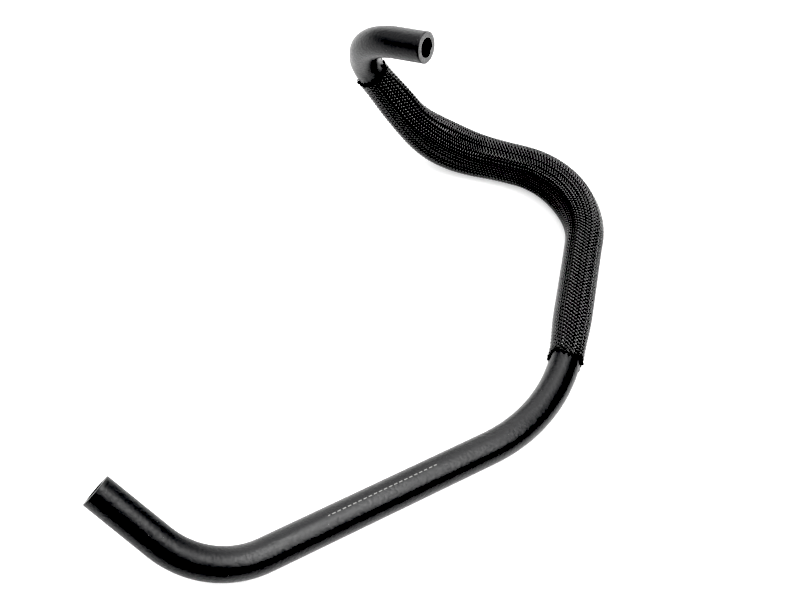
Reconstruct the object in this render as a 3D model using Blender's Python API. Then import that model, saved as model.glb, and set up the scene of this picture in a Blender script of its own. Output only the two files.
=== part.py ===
"""A moulded rubber oil cooler hose, cut square at both ends, with a loose braided sleeve over its upper bends.

It lies as it would on a bench: on its long leg, and on the sleeve where that leads round the third bend.
Lengths are in metres. X runs along the long leg and Z is up.
"""

import math

import bmesh
import bpy
from mathutils import Vector

# The hose's section.
BORE_DIAMETER = 0.011
HOSE_WALL = 0.0035

# The sleeve's section: its wall, how far the braid stands out of it and falls below it, and its gap to the hose
# at its cut ends.
SLEEVE_WALL = 0.0008
BRAID_RELIEF = 0.00025
SLEEVE_CLEARANCE = 0.0003

# How much wider than at its cut ends the sleeve's radius is, from its lower end to its upper one.
LOWER_LEG_SLACK = 0.0012
THIRD_BEND_SLACK = 0.0030
MIDDLE_LEG_SLACK = 0.0024
FOURTH_BEND_SLACK = 0.0038
UPPER_LEG_SLACK = 0.0012

# Where the sleeve starts, measured along the hose from its lower end, and how long it is.
SLEEVE_START = 0.316
SLEEVE_LENGTH = 0.284

# The loose sleeve's lengthwise pleats: how many go round it, and their height as a share of the slack.
PLEATS = 5
PLEAT_SHARE = 0.25
PLEAT_ANGLE = math.radians(20)

HOSE_RADIUS = BORE_DIAMETER / 2 + HOSE_WALL
SLEEVE_RADIUS = HOSE_RADIUS + SLEEVE_CLEARANCE + SLEEVE_WALL

# The route's corners, where the middle lines of its straight legs would meet, from the lower end to the upper one.
# The first two numbers are along the long leg and across it. The third is how far the hose is lifted off the floor.
# The third and fourth corners are lifted by the sleeve, which is between the hose and the floor there.
LONG_LEG = 0.216
LOWER_END = (-0.033, 0.057, 0.025)
FIRST_CORNER = (0.0, 0.0, 0.0)
SECOND_CORNER = (LONG_LEG, 0.0, 0.0)
THIRD_CORNER = (0.337, 0.129, SLEEVE_RADIUS + THIRD_BEND_SLACK - HOSE_RADIUS)
FOURTH_CORNER = (0.256, 0.198, SLEEVE_RADIUS + FOURTH_BEND_SLACK - HOSE_RADIUS)
FIFTH_CORNER = (0.214, 0.227, 0.062)
SIXTH_CORNER = (0.202, 0.217, 0.096)
UPPER_END = (0.219, 0.184, 0.112)
CORNERS = (
    LOWER_END, FIRST_CORNER, SECOND_CORNER, THIRD_CORNER, FOURTH_CORNER, FIFTH_CORNER, SIXTH_CORNER, UPPER_END
)

# The radius of each bend, on the middle line.
FIRST_BEND_RADIUS = 0.052
SECOND_BEND_RADIUS = 0.110
THIRD_BEND_RADIUS = 0.046
FOURTH_BEND_RADIUS = 0.074
FIFTH_BEND_RADIUS = 0.027
SIXTH_BEND_RADIUS = 0.034
BEND_RADII = (
    FIRST_BEND_RADIUS, SECOND_BEND_RADIUS, THIRD_BEND_RADIUS, FOURTH_BEND_RADIUS, FIFTH_BEND_RADIUS, SIXTH_BEND_RADIUS
)

# How finely the solids are cut into flat faces. The braid's diamonds are drawn coarser than the real ones.
HOSE_SIDES = 20
BEND_STEP = math.radians(7.5)
BRAID_DIAMONDS = 14
BRAID_ROW = 0.0032
LINING_STEP = 2


def route():
    """The route's straight legs and bends, each as its length and a function from a distance to (point, direction)."""
    corners = [Vector((x, y, HOSE_RADIUS + lift)) for x, y, lift in CORNERS]
    headings = [(after - before).normalized() for before, after in zip(corners, corners[1:])]
    turns = [before.angle(after) for before, after in zip(headings, headings[1:])]
    trims = [0.0] + [radius * math.tan(turn / 2) for radius, turn in zip(BEND_RADII, turns)] + [0.0]
    pieces = []
    for leg, heading in enumerate(headings):
        start = corners[leg] + heading * trims[leg]
        length = (corners[leg + 1] - corners[leg]).length - trims[leg] - trims[leg + 1]
        pieces.append((length, 1, straight_run(start, heading)))
        if leg < len(turns):
            radius = BEND_RADII[leg]
            steps = math.ceil(turns[leg] / BEND_STEP)
            entry = start + heading * length
            pieces.append((radius * turns[leg], steps, bend(entry, heading, headings[leg + 1], radius)))
    return pieces


def straight_run(start, heading):
    return lambda distance: (start + heading * distance, heading)


def bend(entry, heading, next_heading, radius):
    inward = (next_heading - heading * heading.dot(next_heading)).normalized()
    centre = entry + inward * radius

    def place(distance):
        turned = distance / radius
        point = centre - inward * (radius * math.cos(turned)) + heading * (radius * math.sin(turned))
        return point, heading * math.cos(turned) + inward * math.sin(turned)

    return place


def place_along(pieces, distance):
    """The point and direction of the route at a distance from the hose's lower end."""
    for length, _, place in pieces[:-1]:
        if distance <= length:
            return place(distance)
        distance -= length
    return pieces[-1][2](distance)


def hose_distances(pieces):
    """Where the hose has a ring of points: at the ends of each straight leg, and at even steps round each bend."""
    distances = [0.0]
    for length, steps, _ in pieces:
        first = distances[-1]
        distances += [first + length * (step + 1) / steps for step in range(steps)]
    return distances


def sleeve_distances():
    rows = round(SLEEVE_LENGTH / BRAID_ROW / LINING_STEP) * LINING_STEP
    return [SLEEVE_START + SLEEVE_LENGTH * row / rows for row in range(rows + 1)]


def frames(pieces, distances):
    """A (point, side, up) at each distance. The directions turn with the route and never twist about it."""
    level = pieces[0][0] + pieces[1][0] + pieces[2][0] / 2
    marks = sorted(set(distances) | set(hose_distances(pieces)) | {level})
    places = {mark: place_along(pieces, mark) for mark in marks}
    ups = {level: Vector((0, 0, 1))}
    middle = marks.index(level)
    for order in (marks[middle:], marks[middle::-1]):
        for before, after in zip(order, order[1:]):
            turn = places[before][1].rotation_difference(places[after][1])
            ups[after] = turn @ ups[before]
    return [(places[mark][0], places[mark][1].cross(ups[mark]), ups[mark]) for mark in distances]


def ring(frame, radius_at, sides, floor):
    """Points round the route. Angle 0 is up, and no point is below the floor."""
    point, side, up = frame
    points = []
    for index in range(sides):
        angle = math.tau * index / sides
        corner = point + (up * math.cos(angle) + side * math.sin(angle)) * radius_at(index, angle)
        points.append((corner.x, corner.y, max(corner.z, floor)))
    return points


def sweep_shell(name, rings, material):
    """One closed wall through rings of points: up its outer face, over the far end, back down its inner face."""
    mesh = bmesh.new()
    first = [mesh.verts.new(point) for point in rings[0]]
    edges = [mesh.edges.new(pair) for pair in zip(first, first[1:] + first[:1])]
    verts = first
    for points in rings[1:]:
        made = bmesh.ops.extrude_edge_only(mesh, edges=edges)["geom"]
        new_verts = {item for item in made if isinstance(item, bmesh.types.BMVert)}
        verts = [next(edge.other_vert(v) for edge in v.link_edges if edge.other_vert(v) in new_verts) for v in verts]
        for vert, point in zip(verts, points):
            vert.co = point
        edges = [mesh.edges.get(pair) for pair in zip(verts, verts[1:] + verts[:1])]
    for here, there, end, begin in zip(verts, verts[1:] + verts[:1], first, first[1:] + first[:1]):
        mesh.faces.new((here, there, begin, end))
    bmesh.ops.triangulate(mesh, faces=mesh.faces[:], quad_method="SHORT_EDGE")
    bmesh.ops.recalc_face_normals(mesh, faces=mesh.faces[:])
    data = bpy.data.meshes.new(name)
    mesh.to_mesh(data)
    mesh.free()
    data.shade_smooth()
    data.set_sharp_from_angle(angle=math.radians(40))
    data.materials.append(material)
    shell = bpy.data.objects.new(name, data)
    bpy.context.scene.collection.objects.link(shell)
    return shell


def finish(name, colour, roughness):
    material = bpy.data.materials.new(name)
    material.use_nodes = True
    shader = material.node_tree.nodes["Principled BSDF"]
    shader.inputs["Base Color"].default_value = (*colour, 1.0)
    shader.inputs["Roughness"].default_value = roughness
    return material


def round_radius(radius):
    return lambda index, angle: radius


def make_hose(pieces):
    places = frames(pieces, hose_distances(pieces))
    below = -HOSE_RADIUS
    outside = [ring(place, round_radius(HOSE_RADIUS), HOSE_SIDES, below) for place in places]
    bore = [ring(place, round_radius(BORE_DIAMETER / 2), HOSE_SIDES, below) for place in places]
    return sweep_shell("hose", outside + bore[::-1], finish("moulded_rubber", (0.022, 0.022, 0.023), 0.45))


def slack_at(share):
    """The sleeve's extra radius at a share of its length: a smooth curve through the slack of each stretch."""
    stations = (
        (0.0, 0.0), (0.11, LOWER_LEG_SLACK), (0.28, LOWER_LEG_SLACK), (0.45, THIRD_BEND_SLACK),
        (0.60, MIDDLE_LEG_SLACK), (0.74, FOURTH_BEND_SLACK), (0.88, UPPER_LEG_SLACK), (1.0, 0.0),
    )
    for (start, before), (end, after) in zip(stations, stations[1:]):
        if share <= end:
            eased = (1 - math.cos(math.pi * (share - start) / (end - start))) / 2
            return before + (after - before) * eased
    return 0.0


def sleeve_radius(share, angle):
    """The sleeve's outer radius, without its braid, at a share of its length."""
    return SLEEVE_RADIUS + slack_at(share) * (1 + PLEAT_SHARE * math.cos(PLEATS * (angle - PLEAT_ANGLE)))


def make_sleeve(pieces):
    distances = sleeve_distances()
    places = frames(pieces, distances)
    sides = 2 * BRAID_DIAMONDS
    flat_allowance = 1 / math.cos(math.pi / sides)
    outside, lining = [], []
    for row, (distance, place) in enumerate(zip(distances, places)):
        share = (distance - SLEEVE_START) / SLEEVE_LENGTH

        def braid(index, angle):
            relief = BRAID_RELIEF if (index + row) % 2 else -BRAID_RELIEF
            return sleeve_radius(share, angle) + relief

        def inner_face(index, angle):
            return (sleeve_radius(share, angle) - SLEEVE_WALL) * flat_allowance

        outside.append(ring(place, braid, sides, 0.0))
        if row % LINING_STEP == 0:
            lining.append(ring(place, inner_face, sides, SLEEVE_WALL / 2))
    return sweep_shell("braided_sleeve", outside + lining[::-1], finish("black_braid", (0.012, 0.012, 0.012), 0.5))


def stand_at_origin(parts):
    """Moves the parts so that the middle of the whole part's base is the origin."""
    corners = [vertex.co for part in parts for vertex in part.data.vertices]
    low = [min(corner[axis] for corner in corners) for axis in range(3)]
    high = [max(corner[axis] for corner in corners) for axis in range(3)]
    for part in parts:
        part.location = (-(low[0] + high[0]) / 2, -(low[1] + high[1]) / 2, -low[2])


for old in list(bpy.data.objects):
    bpy.data.objects.remove(old, do_unlink=True)
hose_route = route()
stand_at_origin([make_hose(hose_route), make_sleeve(hose_route)])
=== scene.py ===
"""The looks of a moulded rubber oil cooler hose with a loose braided sleeve over its upper bends.

Lengths are in metres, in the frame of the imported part: X runs along the hose's long leg and Z is up.
"""

import math

import bmesh
import bpy
import numpy as np
from mathutils import Matrix, Vector


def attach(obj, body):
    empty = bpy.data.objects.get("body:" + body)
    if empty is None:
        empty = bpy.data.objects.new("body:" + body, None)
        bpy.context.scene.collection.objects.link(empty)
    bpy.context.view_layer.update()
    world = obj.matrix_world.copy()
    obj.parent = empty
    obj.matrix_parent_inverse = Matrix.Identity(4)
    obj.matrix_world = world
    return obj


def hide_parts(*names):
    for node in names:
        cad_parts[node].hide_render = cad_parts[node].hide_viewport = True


MM = 0.001

# The hose's section, and the rounding of its cut edges.
HOSE_RADIUS = 9.0 * MM
BORE_RADIUS = 5.5 * MM
CUT_EDGE = 0.25 * MM

# The sleeve's wall, the room between it and the hose, and its radius at its cut ends.
SLEEVE_WALL = 0.8 * MM
SLEEVE_ROOM = 0.3 * MM
SLEEVE_RADIUS = HOSE_RADIUS + SLEEVE_ROOM + SLEEVE_WALL

# How much wider the sleeve is than that along its stretches, and where along it each is reached, as shares
# of its length.
LOWER_LEG_SLACK = 1.2 * MM
THIRD_BEND_SLACK = 3.0 * MM
MIDDLE_LEG_SLACK = 2.4 * MM
FOURTH_BEND_SLACK = 3.8 * MM
UPPER_LEG_SLACK = 1.2 * MM
SLACK_STATIONS = (
    (0.0, 0.0),
    (0.11, LOWER_LEG_SLACK),
    (0.28, LOWER_LEG_SLACK),
    (0.45, THIRD_BEND_SLACK),
    (0.60, MIDDLE_LEG_SLACK),
    (0.74, FOURTH_BEND_SLACK),
    (0.88, UPPER_LEG_SLACK),
    (1.0, 0.0),
)

# Where the sleeve starts, measured along the hose from its lower end, and how long it is.
SLEEVE_START = 316 * MM
SLEEVE_LENGTH = 284 * MM

# The sleeve's two cut lines, made freehand with scissors: a mean place along the hose, how far the line
# wanders, how many waves it has round the sleeve and the angle of the first. Then how unevenly the yarns
# end, and how much of each yarn is drawn along to meet its cut.
LOWER_CUT = (312.5 * MM, -2.0 * MM, 3, math.radians(4))
UPPER_CUT = (600.3 * MM, 1.3 * MM, 1, math.radians(-40))
FRAY = 0.3 * MM
CUT_REACH = 9.0 * MM

# The yarns that stick out of a cut line, each as its angle round the sleeve and how far it sticks out.
# Their neighbours within the tip's width stick out less, and all of them flare outward by a share of it.
LOWER_TIPS = (
    (math.radians(-92), 2.4 * MM),
    (math.radians(72), 2.4 * MM),
    (math.radians(160), 1.8 * MM),
)
UPPER_TIPS = (
    (math.radians(26), 4.2 * MM),
    (math.radians(-148), 2.4 * MM),
    (math.radians(120), 2.0 * MM),
)
TIP_WIDTH = math.radians(8)
TIP_FLARE = 0.3

# From each cut line the yarns are fused and dull for this far, and then less and less for this much
# farther.
FUSED_LENGTH = 0.9 * MM
FUSED_FADE = 1.5 * MM

# The loose sleeve's lengthwise pleats: how many go round it, and their height as a share of the slack.
PLEATS = 5
PLEAT_SHARE = 0.25
PLEAT_ANGLE = math.radians(20)

# The folds that the bends have pushed up in the sleeve, each as its angle round the sleeve, where it starts
# and ends along the hose, its height, which is negative for a hollow, and its half width. The lower the
# ease, the sooner a fold reaches its full height.
FOLDS = (
    (math.radians(-35), 466 * MM, 516 * MM, 0.9 * MM, math.radians(6)),
    (math.radians(-16), 520 * MM, 568 * MM, 0.9 * MM, math.radians(6)),
    (math.radians(-42), 544 * MM, 602 * MM, -1.3 * MM, math.radians(17)),
    (math.radians(7), 546 * MM, 602 * MM, 1.0 * MM, math.radians(8)),
    (math.radians(-70), 540 * MM, 602 * MM, 0.5 * MM, math.radians(9)),
)
FOLD_EASE = 0.7

# The sleeve's underside is pressed flat where it lies on the floor, from this high down.
PRESSED_FLAT = 1.0 * MM

# The narrow pleats inside the fourth bend: where they start and end, how many go round, and their height.
NARROW_PLEATS = (500 * MM, 562 * MM, 13, 0.22 * MM)

# The route's corners, where the middle lines of its straight legs would meet, from the lower end to the
# upper one: along the long leg from its first corner, across it, and the lift off the floor. The sleeve
# lifts the third and fourth corners.
ROUTE_PLACE = (-144.775 * MM, -112.652 * MM)
CORNERS = (
    (-0.033, 0.057, 0.025),
    (0.0, 0.0, 0.0),
    (0.216, 0.0, 0.0),
    (0.337, 0.129, SLEEVE_RADIUS + THIRD_BEND_SLACK - HOSE_RADIUS),
    (0.256, 0.198, SLEEVE_RADIUS + FOURTH_BEND_SLACK - HOSE_RADIUS),
    (0.214, 0.227, 0.062),
    (0.202, 0.217, 0.096),
    (0.219, 0.184, 0.112),
)
BEND_RADII = (0.052, 0.110, 0.046, 0.074, 0.027, 0.034)

# The meshes: points round the hose, the longest step along it, how many times longer its bore's steps are,
# and the angle from which an edge is drawn sharp.
HOSE_SIDES = 80
HOSE_STEP = 1.6 * MM
BORE_COARSENESS = 3
SHARP_EDGE = math.radians(50)

# The rubber's skin: its colour, its roughness, which follows the swell between two of its heights, the size
# and height of its low swell and of its grain, and its pale fibre specks.
RUBBER_COLOUR = "#101011"
RUBBER_IOR = 1.5
RUBBER_ROUGHNESS = (0.34, 0.42)
ROUGHENED_SWELL = (0.35, 0.65)
SWELL_SIZE = 1.5 * MM
SWELL_HEIGHT = 0.2 * MM
GRAIN_SIZE = 0.4 * MM
GRAIN_HEIGHT = 0.03 * MM
SPECK_SPACING = 4.0 * MM
SPECK_SIZE = 0.13 * MM
PALE_COLOUR = "#70706e"

# The stretch from the lower end that is duller than the rest, over how far it changes, and how much rougher
# it is.
DULL_END = 76 * MM
DULL_FADE = 10 * MM
DULL_ROUGHNESS = 0.09

# The plain lay line printed on the long leg: its place round and along the hose, its width and dashes.
LINE_ANGLE = math.radians(-7)
LINE_START = 131 * MM
LINE_END = 197 * MM
LINE_WIDTH = 0.5 * MM
DASH_LENGTH = 1.9 * MM
DASH_PERIOD = 3.1 * MM

# The cut faces: their darkest and palest colours, each with its place in the crumbs' noise, their roughness,
# the size of the crumbs, the spacing and depth of the knife's drag marks, and the burr that the knife left
# in the upper end's bore, as its angle, height and half width.
CUT_COLOURS = ((0.3, "#464646"), (0.72, "#747474"))
CUT_ROUGHNESS = 0.6
CRUMB_SIZE = 0.7 * MM
DRAG_SPACING = 0.5 * MM
DRAG_DEPTH = 0.03 * MM
BURR = (math.radians(-6), 1.0 * MM, math.radians(14))

# The bore's lining: its colour, its roughness on and between its rings, and their spacing.
BORE_COLOUR = "#0e0e0f"
BORE_ROUGHNESS = (0.45, 0.6)
BORE_RING_SPACING = 3.0 * MM

# The braid: yarns each way round the sleeve, a yarn's width and thickness, how far it rises and falls as it
# passes over and under, how many times that wave is flattened at its crests, and how far and how often it
# strays to the side.
YARNS_EACH_WAY = 20
YARN_WIDTH = 1.8 * MM
YARN_THICKNESS = 0.6 * MM
YARN_WEAVE = 0.36 * MM
WEAVE_FLATTENINGS = 2
YARN_WANDER = 0.07 * MM
YARN_WANDER_POINTS = 40
YARN_SEED = 5

# Half of the crown of a yarn's section, from its foot to beside its top: shares of its half width and half
# thickness. Then how much of its half width lies flat underneath.
YARN_CROWN = ((1.0, -0.95), (0.82, 0.0), (0.46, 0.74))
YARN_FLAT = 0.5

# The distance along the sleeve from one place where a yarn passes over to the next, on the lower leg and
# where the sleeve is wide, how far past the wide pitch it may go on, and the yarn's rings of points in each.
YARN_PITCH = 2.45 * MM
WIDE_YARN_PITCH = 2.05 * MM
WIDEST_SHARE = 1.3
STATIONS_PER_PITCH = 6

# The table of the yarns' turning: how far past the sleeve's ends it goes, and its step.
BRAID_MARGIN = 4 * MM
BRAID_STEP = 0.25 * MM

# The yarn's look: its colour, its roughness, also where it is fused, and its filaments' width and depth and
# how strongly they show.
YARN_COLOUR = "#060606"
YARN_IOR = 1.57
YARN_ROUGHNESS = 0.12
FUSED_ROUGHNESS = 0.75
FILAMENT = 0.2 * MM
FILAMENT_DEPTH = 0.03 * MM
FILAMENT_STRENGTH = 0.2

# The floor is a lit table: its colour, how bright it is of itself, where white paper in the studio's light is
# about 1, its reach, and how far it is let down so that it doesn't touch the hose.
FLOOR_COLOUR = "#dcdcdc"
FLOOR_GLOW = 0.42
FLOOR_REACH = 8.0
FLOOR_DROP = 0.1 * MM
MATT_ROUGHNESS = 0.9

# The studio's lights, all aimed at the hose: azimuth and elevation in degrees, distance, width and height,
# and how bright the face is, where a lit white floor is about 1.
SOFTBOXES = {
    "overhead": (9.0, 76.0, 4.8, (3.9, 1.1), 16.0),
    "right_front": (-55.0, 45.0, 2.2, (0.6, 1.1), 7.0),
    "front": (-72.0, 53.0, 3.0, (3.4, 1.0), 2.0),
    "left_back": (152.0, 48.0, 3.2, (5.0, 3.4), 1.1),
    "back_wall": (59.0, 30.0, 3.4, (3.4, 3.4), 1.7),
}
ROOM_BRIGHTNESS = 1.5

# The black cards on the studio's dark side: azimuth in degrees, distance, width and height.
CARD_COLOUR = "#202020"
DARK_CARDS = {
    "front_card": (-100.0, 1.6, 3.6, 0.9),
    "right_card": (-24.0, 1.6, 1.9, 1.15),
}

# Greys that are darker than this print as black.
BLACK_LEVEL = 0.1

# The camera, fitted to the outline in the photograph, whose frame is 800 by 600.
CAMERA_PLACE = (-0.3035, -0.3341, 0.6156)
CAMERA_AIM = (0.0365, -0.0032, 0.0)
CAMERA_ROLL = math.radians(17.28)
CAMERA_LENS = 59.87
CAMERA_SENSOR = 36.0


def route():
    """The route's straight legs and bends, each as its length and a function that gives the point and the
    direction at a distance along it."""
    start_along, start_across = ROUTE_PLACE
    corners = []
    for along, across, lift in CORNERS:
        corners.append(Vector((along + start_along, across + start_across, HOSE_RADIUS + lift)))
    headings = [(after - before).normalized() for before, after in zip(corners, corners[1:])]
    turns = [before.angle(after) for before, after in zip(headings, headings[1:])]
    trims = [0.0] + [radius * math.tan(turn / 2) for radius, turn in zip(BEND_RADII, turns)] + [0.0]
    pieces = []
    for leg, heading in enumerate(headings):
        start = corners[leg] + heading * trims[leg]
        length = (corners[leg + 1] - corners[leg]).length - trims[leg] - trims[leg + 1]
        pieces.append((length, straight_run(start, heading)))
        if leg < len(turns):
            radius = BEND_RADII[leg]
            entry = start + heading * length
            pieces.append((radius * turns[leg], bend(entry, heading, headings[leg + 1], radius)))
    return pieces


def straight_run(start, heading):
    return lambda distance: (start + heading * distance, heading)


def bend(entry, heading, next_heading, radius):
    inward = (next_heading - heading * heading.dot(next_heading)).normalized()
    centre = entry + inward * radius

    def place(distance):
        turned = distance / radius
        point = centre - inward * (radius * math.cos(turned)) + heading * (radius * math.sin(turned))
        return point, heading * math.cos(turned) + inward * math.sin(turned)

    return place


class Line:
    """The hose's middle line, as a fine table of points with directions that never twist about it."""

    STEP = 0.5 * MM

    def __init__(self):
        pieces = route()
        self.length = sum(length for length, _ in pieces)
        count = math.ceil(self.length / self.STEP)
        self.marks = np.linspace(0.0, self.length, count + 1)
        places = [self.place_along(pieces, mark) for mark in self.marks]
        level = pieces[0][0] + pieces[1][0] + pieces[2][0] / 2
        middle = int(np.argmin(abs(self.marks - level)))
        ups = {middle: Vector((0, 0, 1))}
        for order in (range(middle, count + 1), range(middle, -1, -1)):
            for before, after in zip(order, order[1:]):
                turn = places[before][1].rotation_difference(places[after][1])
                ups[after] = turn @ ups[before]
        self.points = np.array([point for point, _ in places])
        self.headings = np.array([heading for _, heading in places])
        self.ups = np.array([ups[index] for index in range(count + 1)])
        self.sides = np.cross(self.headings, self.ups)

    @staticmethod
    def place_along(pieces, distance):
        for length, place in pieces[:-1]:
            if distance <= length:
                return place(distance)
            distance -= length
        return pieces[-1][1](distance)

    def at(self, table, distance):
        return np.stack([np.interp(distance, self.marks, table[:, axis]) for axis in range(3)], axis=-1)

    def around(self, distance, angle, radius):
        """Points at a distance along the line, and an angle and radius round it. Angle 0 is up on the long
        leg, and a distance past either end goes straight on."""
        out = np.cos(angle)[..., None] * self.at(self.ups, distance)
        out += np.sin(angle)[..., None] * self.at(self.sides, distance)
        beyond = np.maximum(distance - self.length, 0.0) + np.minimum(distance, 0.0)
        along = beyond[..., None] * self.at(self.headings, distance)
        return self.at(self.points, distance) + along + out * radius[..., None]


def linear(hex_colour):
    """A linear colour from an sRGB hex value."""
    channels = [int(hex_colour[index:index + 2], 16) / 255 for index in (1, 3, 5)]
    return tuple(c / 12.92 if c <= 0.04045 else ((c + 0.055) / 1.055) ** 2.4 for c in channels) + (1.0,)


def add_node(tree, kind, inputs=None, **settings):
    """Adds a shader node. Each input is a value or a socket to link from."""
    made = tree.nodes.new("ShaderNode" + kind)
    for name, value in settings.items():
        setattr(made, name, value)
    for name, value in (inputs or {}).items():
        if isinstance(value, bpy.types.NodeSocket):
            tree.links.new(value, made.inputs[name])
        else:
            made.inputs[name].default_value = value
    return made


def wave_scale(spacing):
    """A wave texture's scale for waves this far apart: it has 20 / tau waves in each unit."""
    return math.tau / 20 / spacing


def start_material(name):
    material = bpy.data.materials.new(name)
    material.use_nodes = True
    return material, material.node_tree, material.node_tree.nodes["Principled BSDF"]


def moulded_rubber():
    """Black oil-resistant rubber, cured in a mould: satin, with a low mottled swell that frays the edges of
    what it reflects, a very fine grain, a few pale fibre specks, and a plain dashed lay line along its long
    leg."""
    material, tree, shader = start_material("moulded_rubber")
    shader.inputs["IOR"].default_value = RUBBER_IOR
    laid = add_node(tree, "Attribute", attribute_name="laid_straight").outputs["Vector"]
    place = add_node(tree, "SeparateXYZ", {"Vector": laid})
    swell = add_node(tree, "TexNoise", {"Vector": laid, "Scale": 1 / SWELL_SIZE, "Detail": 3.0})
    grain = add_node(tree, "TexNoise", {"Vector": laid, "Scale": 1 / GRAIN_SIZE, "Detail": 2.0})
    gloss = add_node(tree, "MapRange", {
        "Value": swell.outputs["Fac"],
        "From Min": ROUGHENED_SWELL[0],
        "From Max": ROUGHENED_SWELL[1],
        "To Min": RUBBER_ROUGHNESS[0],
        "To Max": RUBBER_ROUGHNESS[1],
    })
    dull = add_node(tree, "MapRange", {
        "Value": place.outputs["Z"],
        "From Min": DULL_END - DULL_FADE / 2,
        "From Max": DULL_END + DULL_FADE / 2,
        "To Min": DULL_ROUGHNESS,
        "To Max": 0.0,
    })
    rough = add_node(tree, "Math", {0: gloss.outputs["Result"], 1: dull.outputs["Result"]}, operation="ADD")
    low = add_node(tree, "Bump", {"Height": swell.outputs["Fac"], "Strength": 1.0, "Distance": SWELL_HEIGHT})
    fine = add_node(tree, "Bump", {
        "Height": grain.outputs["Fac"],
        "Strength": 1.0,
        "Distance": GRAIN_HEIGHT,
        "Normal": low.outputs["Normal"],
    })
    specks = add_node(tree, "TexVoronoi", {"Vector": laid, "Scale": 1 / SPECK_SPACING})
    speck_share = SPECK_SIZE / SPECK_SPACING
    speck = add_node(tree, "Math", {0: specks.outputs["Distance"], 1: speck_share}, operation="LESS_THAN")
    printed = lay_line(tree, laid)
    pale = add_node(tree, "Math", {0: speck.outputs["Value"], 1: printed}, operation="MAXIMUM")
    colour = add_node(tree, "Mix", {"Factor": pale.outputs["Value"]}, data_type="RGBA")
    colour.inputs["A"].default_value = linear(RUBBER_COLOUR)
    colour.inputs["B"].default_value = linear(PALE_COLOUR)
    tree.links.new(colour.outputs["Result"], shader.inputs["Base Color"])
    tree.links.new(rough.outputs["Value"], shader.inputs["Roughness"])
    tree.links.new(fine.outputs["Normal"], shader.inputs["Normal"])
    return material


def lay_line(tree, laid):
    """1 on the printed dashes of the lay line, and 0 off them."""
    turned = add_node(tree, "Mapping", {"Vector": laid, "Rotation": (0.0, 0.0, LINE_ANGLE)})
    place = add_node(tree, "SeparateXYZ", {"Vector": turned.outputs["Vector"]})
    across, top, along = (place.outputs[axis] for axis in "XYZ")
    middle = (LINE_START + LINE_END) / 2
    dashes = add_node(tree, "Math", {0: along, 1: DASH_PERIOD}, operation="FLOORED_MODULO")
    limits = (
        add_node(tree, "Math", {0: across, 1: 0.0, 2: LINE_WIDTH / 2}, operation="COMPARE"),
        add_node(tree, "Math", {0: along, 1: middle, 2: LINE_END - middle}, operation="COMPARE"),
        add_node(tree, "Math", {0: dashes.outputs["Value"], 1: DASH_LENGTH}, operation="LESS_THAN"),
        add_node(tree, "Math", {0: top, 1: 0.0}, operation="GREATER_THAN"),
    )
    printed = limits[0].outputs["Value"]
    for limit in limits[1:]:
        both = add_node(tree, "Math", {0: printed, 1: limit.outputs["Value"]}, operation="MULTIPLY")
        printed = both.outputs["Value"]
    return printed


def cut_rubber():
    """The same rubber cut with a knife: greyer and matt, with fine drag marks and a few bright crumbs."""
    material, tree, shader = start_material("cut_rubber")
    laid = add_node(tree, "Attribute", attribute_name="laid_straight").outputs["Vector"]
    crumbs = add_node(tree, "TexNoise", {"Vector": laid, "Scale": 1 / CRUMB_SIZE, "Detail": 3.0})
    shade = add_node(tree, "ValToRGB", {"Fac": crumbs.outputs["Fac"]})
    for stop, (position, colour) in zip(shade.color_ramp.elements, CUT_COLOURS):
        stop.position = position
        stop.color = linear(colour)
    drag = add_node(tree, "TexWave", {
        "Vector": laid,
        "Scale": wave_scale(DRAG_SPACING),
        "Distortion": 3.0,
        "Detail": 2.0,
    })
    marks = add_node(tree, "Bump", {"Height": drag.outputs["Fac"], "Strength": 0.6, "Distance": DRAG_DEPTH})
    tree.links.new(shade.outputs["Color"], shader.inputs["Base Color"])
    tree.links.new(marks.outputs["Normal"], shader.inputs["Normal"])
    shader.inputs["Roughness"].default_value = CUT_ROUGHNESS
    return material


def bore_rubber():
    """The lining, drawn over a steel core: smooth black rubber with faint rings."""
    material, tree, shader = start_material("bore_rubber")
    laid = add_node(tree, "Attribute", attribute_name="laid_straight").outputs["Vector"]
    rings = add_node(tree, "TexWave", {
        "Vector": laid,
        "Scale": wave_scale(BORE_RING_SPACING),
        "Distortion": 2.0,
    }, bands_direction="Z")
    gloss = add_node(tree, "MapRange", {
        "Value": rings.outputs["Fac"],
        "To Min": BORE_ROUGHNESS[0],
        "To Max": BORE_ROUGHNESS[1],
    })
    tree.links.new(gloss.outputs["Result"], shader.inputs["Roughness"])
    shader.inputs["Base Color"].default_value = linear(BORE_COLOUR)
    return material


def braid_yarn():
    """Black polyester monofilaments laid side by side: glossy, so each yarn that passes over catches a short
    glint. Where the yarns were cut hot their ends are fused and dull."""
    material, tree, shader = start_material("braid_yarn")
    shader.inputs["Base Color"].default_value = linear(YARN_COLOUR)
    shader.inputs["IOR"].default_value = YARN_IOR
    laid = add_node(tree, "Attribute", attribute_name="laid_flat").outputs["Vector"]
    fused = add_node(tree, "SeparateXYZ", {"Vector": laid}).outputs["Z"]
    gloss = add_node(tree, "MapRange", {"Value": fused, "To Min": YARN_ROUGHNESS, "To Max": FUSED_ROUGHNESS})
    tree.links.new(gloss.outputs["Result"], shader.inputs["Roughness"])
    filament_waves = {"Vector": laid, "Scale": wave_scale(FILAMENT)}
    filaments = add_node(tree, "TexWave", filament_waves, bands_direction="X")
    rounds = add_node(tree, "Bump", {
        "Height": filaments.outputs["Fac"],
        "Strength": FILAMENT_STRENGTH,
        "Distance": FILAMENT_DEPTH,
    })
    tree.links.new(rounds.outputs["Normal"], shader.inputs["Normal"])
    return material


def turn_from(angle, other):
    """The turn from one angle to another, the short way round."""
    return (angle - other + math.pi) % math.tau - math.pi


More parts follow.
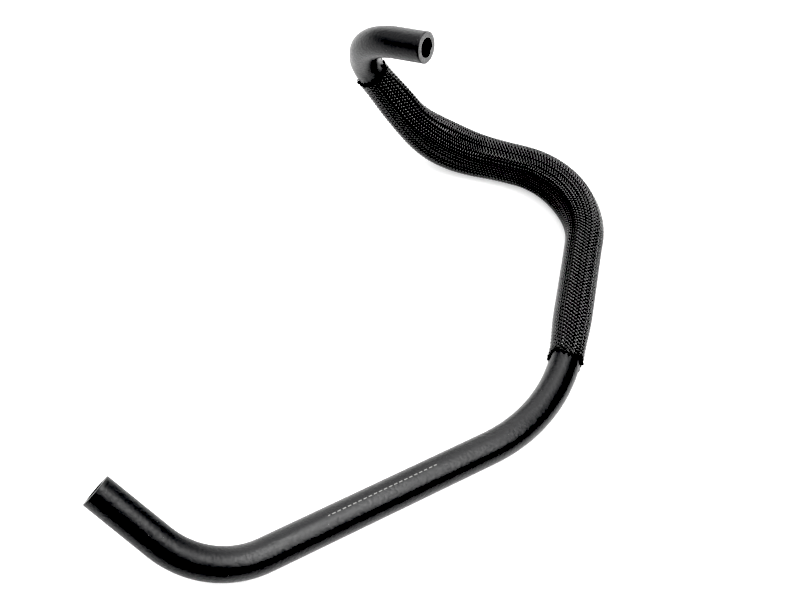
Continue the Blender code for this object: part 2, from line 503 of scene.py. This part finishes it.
def extruded_from(vert, new_verts):
    """The new vertex that was extruded from this one."""
    return next(end for end in (edge.other_vert(vert) for edge in vert.link_edges) if end in new_verts)


def loft(rings, bands, closed):
    """A mesh through rings of points, each extruded from the last. bands gives the material of each step. A
    closed loft joins its last ring to its first, and an open one is capped."""
    mesh = bmesh.new()
    first = [mesh.verts.new(point) for point in rings[0]]
    edges = [mesh.edges.new(pair) for pair in zip(first, first[1:] + first[:1])]
    verts = first
    for points, band in zip(rings[1:], bands):
        made = bmesh.ops.extrude_edge_only(mesh, edges=edges)["geom"]
        new_verts = set()
        for item in made:
            if isinstance(item, bmesh.types.BMVert):
                new_verts.add(item)
            elif isinstance(item, bmesh.types.BMFace):
                item.material_index = band
        verts = [extruded_from(vert, new_verts) for vert in verts]
        for vert, point in zip(verts, points):
            vert.co = point
        edges = [mesh.edges.get(pair) for pair in zip(verts, verts[1:] + verts[:1])]
    if closed:
        for here, there, end, begin in zip(verts, verts[1:] + verts[:1], first[1:] + first[:1], first):
            mesh.faces.new((here, there, end, begin)).material_index = bands[-1]
    else:
        for loop in (first, verts):
            mesh.faces.new(loop)
    bmesh.ops.recalc_face_normals(mesh, faces=mesh.faces[:])
    return mesh


def mesh_data(name, mesh):
    data = bpy.data.meshes.new(name)
    mesh.to_mesh(data)
    mesh.free()
    return data


def store_coordinates(data, name, points):
    """Keeps coordinates for the materials on the mesh's points, from a list of arrays of them."""
    attribute = data.attributes.new(name, "FLOAT_VECTOR", "POINT")
    attribute.data.foreach_set("vector", np.concatenate(points).ravel())


def finish_piece(name, data, materials, replaced):
    """Makes a piece of the scene that rides on the part's body, in place of a node of it."""
    data.shade_smooth()
    data.set_sharp_from_angle(angle=SHARP_EDGE)
    for material in materials:
        data.materials.append(material)
    piece = bpy.data.objects.new(name, data)
    bpy.context.scene.collection.objects.link(piece)
    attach(piece, "root")
    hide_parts(replaced)


def make_hose(line):
    """The hose: its outside, its two cut faces and its bore, in one closed wall."""
    angles = np.linspace(0, math.tau, HOSE_SIDES, endpoint=False)
    steps = math.ceil(line.length / HOSE_STEP)
    outside = [(distance, HOSE_RADIUS) for distance in np.linspace(0, line.length, steps + 1)]
    outside[0] = (CUT_EDGE, HOSE_RADIUS)
    outside[-1] = (line.length - CUT_EDGE, HOSE_RADIUS)
    face = (BORE_RADIUS, (BORE_RADIUS + HOSE_RADIUS) / 2, HOSE_RADIUS - CUT_EDGE)
    lower = [(0.0, radius) for radius in face]
    upper = [(line.length, radius) for radius in reversed(face)]
    bore_marks = np.linspace(line.length, 0, steps // BORE_COARSENESS)[1:-1]
    bore = [(distance, BORE_RADIUS) for distance in bore_marks]
    profile = lower + outside + upper + bore
    bands = [1, 1, 0] + [0] * (len(outside) - 1) + [0, 1, 1] + [2] * (len(bore) + 1)
    burr_angle, burr_height, burr_width = BURR
    burr = burr_height * np.exp(-(turn_from(angles, burr_angle) / burr_width) ** 2)
    upper_mouth = len(profile) - len(bore) - 1
    rings = []
    for number, (distance, radius) in enumerate(profile):
        radii = np.full(HOSE_SIDES, radius)
        if number == upper_mouth:
            radii -= burr
        rings.append(line.around(np.full(HOSE_SIDES, distance), angles, radii))
    data = mesh_data("moulded_hose", loft(rings, bands, True))
    straight = []
    for distance, radius in profile:
        along = np.full(HOSE_SIDES, distance)
        straight.append(np.stack([radius * np.sin(angles), radius * np.cos(angles), along], axis=1))
    store_coordinates(data, "laid_straight", straight)
    materials = [moulded_rubber(), cut_rubber(), bore_rubber()]
    finish_piece("moulded_hose", data, materials, "hose")


def sleeve_slack(distance):
    """The sleeve's extra radius: a smooth curve through the slack of each stretch."""
    stations, slacks = np.array(SLACK_STATIONS).T
    share = np.clip((distance - SLEEVE_START) / SLEEVE_LENGTH, 0.0, 1.0)
    index = np.clip(np.searchsorted(stations, share, side="right") - 1, 0, len(stations) - 2)
    passed = (share - stations[index]) / (stations[index + 1] - stations[index])
    eased = (1 - np.cos(math.pi * passed)) / 2
    return slacks[index] + (slacks[index + 1] - slacks[index]) * eased


def between(distance, start, end):
    """1 midway from start to end, falling smoothly to 0 at both."""
    share = np.clip((distance - start) / (end - start), 0, 1)
    return np.sin(math.pi * share) ** FOLD_EASE


def sleeve_middle(distance, angle):
    """The radius of the middle of the sleeve's wall."""
    pleat = 1 + PLEAT_SHARE * np.cos(PLEATS * (angle - PLEAT_ANGLE))
    radius = SLEEVE_RADIUS - SLEEVE_WALL / 2 + sleeve_slack(distance) * pleat
    for fold, start, end, height, width in FOLDS:
        radius += height * between(distance, start, end) * np.exp(-(turn_from(angle, fold) / width) ** 2)
    start, end, count, height = NARROW_PLEATS
    return radius + height * between(distance, start, end) * np.cos(count * angle)


class Braid:
    """How the yarns' angle advances along the sleeve. It is the same for both families, one each way."""

    def __init__(self):
        end = SLEEVE_START + SLEEVE_LENGTH
        self.marks = np.arange(SLEEVE_START - BRAID_MARGIN, end + BRAID_MARGIN, BRAID_STEP)
        widened = (sleeve_slack(self.marks) - LOWER_LEG_SLACK) / (MIDDLE_LEG_SLACK - LOWER_LEG_SLACK)
        pitch = YARN_PITCH + (WIDE_YARN_PITCH - YARN_PITCH) * np.clip(widened, 0, WIDEST_SHARE)
        self.spacing = math.tau / YARNS_EACH_WAY
        rate = self.spacing / pitch
        steps = (rate[1:] + rate[:-1]) / 2 * np.diff(self.marks)
        self.turned = np.concatenate([[0.0], np.cumsum(steps)])
        self.rate = np.gradient(self.turned, self.marks)

    def angle(self, distance):
        return np.interp(distance, self.marks, self.turned)

    def distance(self, angle):
        return np.interp(angle, self.turned, self.marks)


def yarn_section():
    """Points round a yarn's section, across and up: a crown on top, and a flat underside."""
    half = YARN_WIDTH / 2
    rise = YARN_THICKNESS / 2
    left = [(-across * half, up * rise) for across, up in YARN_CROWN]
    right = [(across * half, up * rise) for across, up in reversed(YARN_CROWN)]
    return left + [(0.0, rise)] + right + [(YARN_FLAT * half, -rise), (-YARN_FLAT * half, -rise)]


def yarn_pattern(braid, start, end):
    """A yarn laid flat: x across it, y its distance along the sleeve, z its height."""
    first, last = braid.angle(start), braid.angle(end)
    count = round((last - first) / braid.spacing * STATIONS_PER_PITCH)
    marks = braid.distance(np.linspace(first, last, count + 1))
    rings = [[Vector((across, mark, height)) for across, height in yarn_section()] for mark in marks]
    return mesh_data("yarn_pattern", loft(rings, [0] * count, False))


def cut_line(cut, angle):
    mean, swing, waves, first = cut
    return mean + swing * np.cos(waves * (angle - first))


def tip_reach(tips, angle):
    """How far a yarn that ends at an angle sticks out of the cut line."""
    return sum(reach * math.exp(-(turn_from(angle, tip) / TIP_WIDTH) ** 2) for tip, reach in tips)


def cut_yarn(braid, laid, angle, hand, chance):
    """Draws a yarn's ends to the two cut lines. laid holds the place of each of its points along the sleeve.
    Gives the new places, how far the points flare outward, and how near they are to being fused."""
    mark = laid.copy()
    flare = np.zeros(len(mark))
    fused = np.zeros(len(mark))
    cuts = (
        (LOWER_CUT, LOWER_TIPS, SLEEVE_START, -1),
        (UPPER_CUT, UPPER_TIPS, SLEEVE_START + SLEEVE_LENGTH, 1),
    )
    for cut, tips, edge, way in cuts:
        ending = angle + hand * braid.angle(cut[0])
        tip = tip_reach(tips, ending)
        near = np.clip(1 - abs(laid - edge) / CUT_REACH, 0, 1) ** 2
        stop = cut_line(cut, ending) + way * (tip + chance.uniform(-FRAY, FRAY))
        mark += (stop - edge) * near
        flare += TIP_FLARE * tip * near ** 4
        past_fused = (abs(mark - stop) - FUSED_LENGTH) / FUSED_FADE
        fused = np.maximum(fused, np.clip(1 - past_fused, 0, 1))
    return mark, flare, fused


def over_and_under(turned, spacing):
    """1 where a right hand yarn passes over, -1 where it passes under, and steep between."""
    wave = np.cos(math.tau * turned / spacing)
    for _ in range(WEAVE_FLATTENINGS):
        wave *= 1.5 - 0.5 * wave ** 2
    return wave


def press_on_floor(points):
    """Presses what lies lowest flat, so that it nears the floor and doesn't pass it."""
    low = np.minimum(points[:, 2] / PRESSED_FLAT - 1, 0)
    points[:, 2] = np.where(low < 0, PRESSED_FLAT * np.exp(low), points[:, 2])


def wrap_yarn(line, braid, flat, angle, hand, chance):
    """Lays a flat yarn round the sleeve from an angle. hand is 1 or -1, for the way that it winds. Also gives
    the yarn's own coordinates: across it, along it, and how near it is to being fused at a cut."""
    mark, flare, fused = cut_yarn(braid, flat[:, 1], angle, hand, chance)
    turned = braid.angle(mark)
    wander = chance.normal(0, YARN_WANDER, YARN_WANDER_POINTS)
    wander_marks = np.linspace(SLEEVE_START, SLEEVE_START + SLEEVE_LENGTH, YARN_WANDER_POINTS)
    across = flat[:, 0] + np.interp(mark, wander_marks, wander)
    winding = angle + hand * turned
    radius = sleeve_middle(mark, winding)
    slope = np.interp(mark, braid.marks, braid.rate) * radius
    length = np.sqrt(1 + slope ** 2)
    distance = mark - hand * across * slope / length
    around = winding + across / length / radius
    weave = hand * YARN_WEAVE * over_and_under(turned, braid.spacing)
    points = line.around(distance, around, sleeve_middle(distance, around) + weave + flat[:, 2] + flare)
    press_on_floor(points)
    return points, np.stack([flat[:, 0], mark, fused], axis=1)


def make_yarns(line):
    """The sleeve: its yarns in four pieces, two of right hand yarns and two of left hand ones."""
    braid = Braid()
    pattern = yarn_pattern(braid, SLEEVE_START, SLEEVE_START + SLEEVE_LENGTH)
    flat = np.empty(len(pattern.vertices) * 3)
    pattern.vertices.foreach_get("co", flat)
    flat = flat.reshape(-1, 3)
    material = braid_yarn()
    chance = np.random.default_rng(YARN_SEED)
    half = YARNS_EACH_WAY // 2
    for hand, way in ((1, "right"), (-1, "left")):
        for part in (1, 2):
            mesh = bmesh.new()
            points, laid = [], []
            for number in range((part - 1) * half, part * half):
                mesh.from_mesh(pattern)
                wrapped, coordinates = wrap_yarn(line, braid, flat, number * braid.spacing, hand, chance)
                points.append(wrapped)
                laid.append(coordinates)
            bmesh.ops.recalc_face_normals(mesh, faces=mesh.faces[:])
            data = mesh_data("yarns", mesh)
            data.vertices.foreach_set("co", np.concatenate(points).ravel())
            store_coordinates(data, "laid_flat", laid)
            finish_piece(f"{way}_hand_yarns_{part}", data, [material], "braided_sleeve")


def make_floor():
    mesh = bmesh.new()
    bmesh.ops.create_grid(mesh, x_segments=1, y_segments=1, size=FLOOR_REACH)
    data = mesh_data("floor", mesh)
    material, _, shader = start_material("pale_floor")
    shader.inputs["Base Color"].default_value = linear(FLOOR_COLOUR)
    shader.inputs["Roughness"].default_value = MATT_ROUGHNESS
    shader.inputs["Specular IOR Level"].default_value = 0.1
    shader.inputs["Emission Color"].default_value = linear("#ffffff")
    shader.inputs["Emission Strength"].default_value = FLOOR_GLOW
    data.materials.append(material)
    floor = bpy.data.objects.new("floor", data)
    floor.location.z = -FLOOR_DROP
    bpy.context.scene.collection.objects.link(floor)


def dark_card(name, azimuth, distance, width, height):
    """A black card that stands on the floor in one direction, given in degrees."""
    turned = math.radians(azimuth)
    mesh = bmesh.new()
    corners = ((-width / 2, 0.0), (width / 2, 0.0), (width / 2, height), (-width / 2, height))
    mesh.faces.new([mesh.verts.new((0.0, across, up)) for across, up in corners])
    data = mesh_data(name, mesh)
    material, _, shader = start_material(name)
    shader.inputs["Base Color"].default_value = linear(CARD_COLOUR)
    shader.inputs["Roughness"].default_value = MATT_ROUGHNESS
    data.materials.append(material)
    card = bpy.data.objects.new(name, data)
    card.location = (distance * math.cos(turned), distance * math.sin(turned), 0.0)
    card.rotation_euler.z = turned
    card.visible_camera = False
    bpy.context.scene.collection.objects.link(card)


def softbox(name, azimuth, elevation, distance, size, radiance):
    """A rectangular studio light in one direction, given in degrees, that faces the hose."""
    turned, raised = math.radians(azimuth), math.radians(elevation)
    level = math.cos(raised)
    place = Vector((level * math.cos(turned), level * math.sin(turned), math.sin(raised))) * distance
    lamp = bpy.data.lights.new(name, "AREA")
    lamp.shape = "RECTANGLE"
    lamp.size, lamp.size_y = size
    lamp.energy = radiance * math.pi * size[0] * size[1]
    light = bpy.data.objects.new(name, lamp)
    light.location = place
    light.rotation_euler = (-place).to_track_quat("-Z", "Y").to_euler()
    light.visible_camera = False
    bpy.context.scene.collection.objects.link(light)


def light_studio():
    for name, light in SOFTBOXES.items():
        softbox(name, *light)
    for name, card in DARK_CARDS.items():
        dark_card(name, *card)
    world = bpy.data.worlds.new("studio")
    world.use_nodes = True
    background = world.node_tree.nodes["Background"]
    background.inputs["Color"].default_value = linear("#ffffff")
    background.inputs["Strength"].default_value = ROOM_BRIGHTNESS
    bpy.context.scene.world = world


def set_camera():
    data = bpy.data.cameras.new("camera")
    data.sensor_width = CAMERA_SENSOR
    data.lens = CAMERA_LENS
    data.clip_start = 0.01
    camera = bpy.data.objects.new("camera", data)
    view = Vector(CAMERA_AIM) - Vector(CAMERA_PLACE)
    turn = view.to_track_quat("-Z", "Y").to_matrix().to_4x4()
    camera.matrix_world = Matrix.Translation(CAMERA_PLACE) @ turn @ Matrix.Rotation(CAMERA_ROLL, 4, "Z")
    bpy.context.scene.collection.objects.link(camera)
    bpy.context.scene.camera = camera


def grade_picture():
    """A photograph's contrast: the deepest greys print as black."""
    view = bpy.context.scene.view_settings
    view.view_transform = "Standard"
    view.use_curve_mapping = True
    view.curve_mapping.black_level = (BLACK_LEVEL,) * 3
    view.curve_mapping.update()


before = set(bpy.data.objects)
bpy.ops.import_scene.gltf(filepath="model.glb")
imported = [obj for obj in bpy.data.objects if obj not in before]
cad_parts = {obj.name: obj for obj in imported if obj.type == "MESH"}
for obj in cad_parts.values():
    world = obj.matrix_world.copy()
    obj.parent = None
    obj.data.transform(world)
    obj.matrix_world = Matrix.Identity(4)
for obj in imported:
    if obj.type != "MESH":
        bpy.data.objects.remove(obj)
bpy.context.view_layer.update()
set_camera()
grade_picture()
light_studio()
make_floor()
middle_line = Line()
make_hose(middle_line)
make_yarns(middle_line)
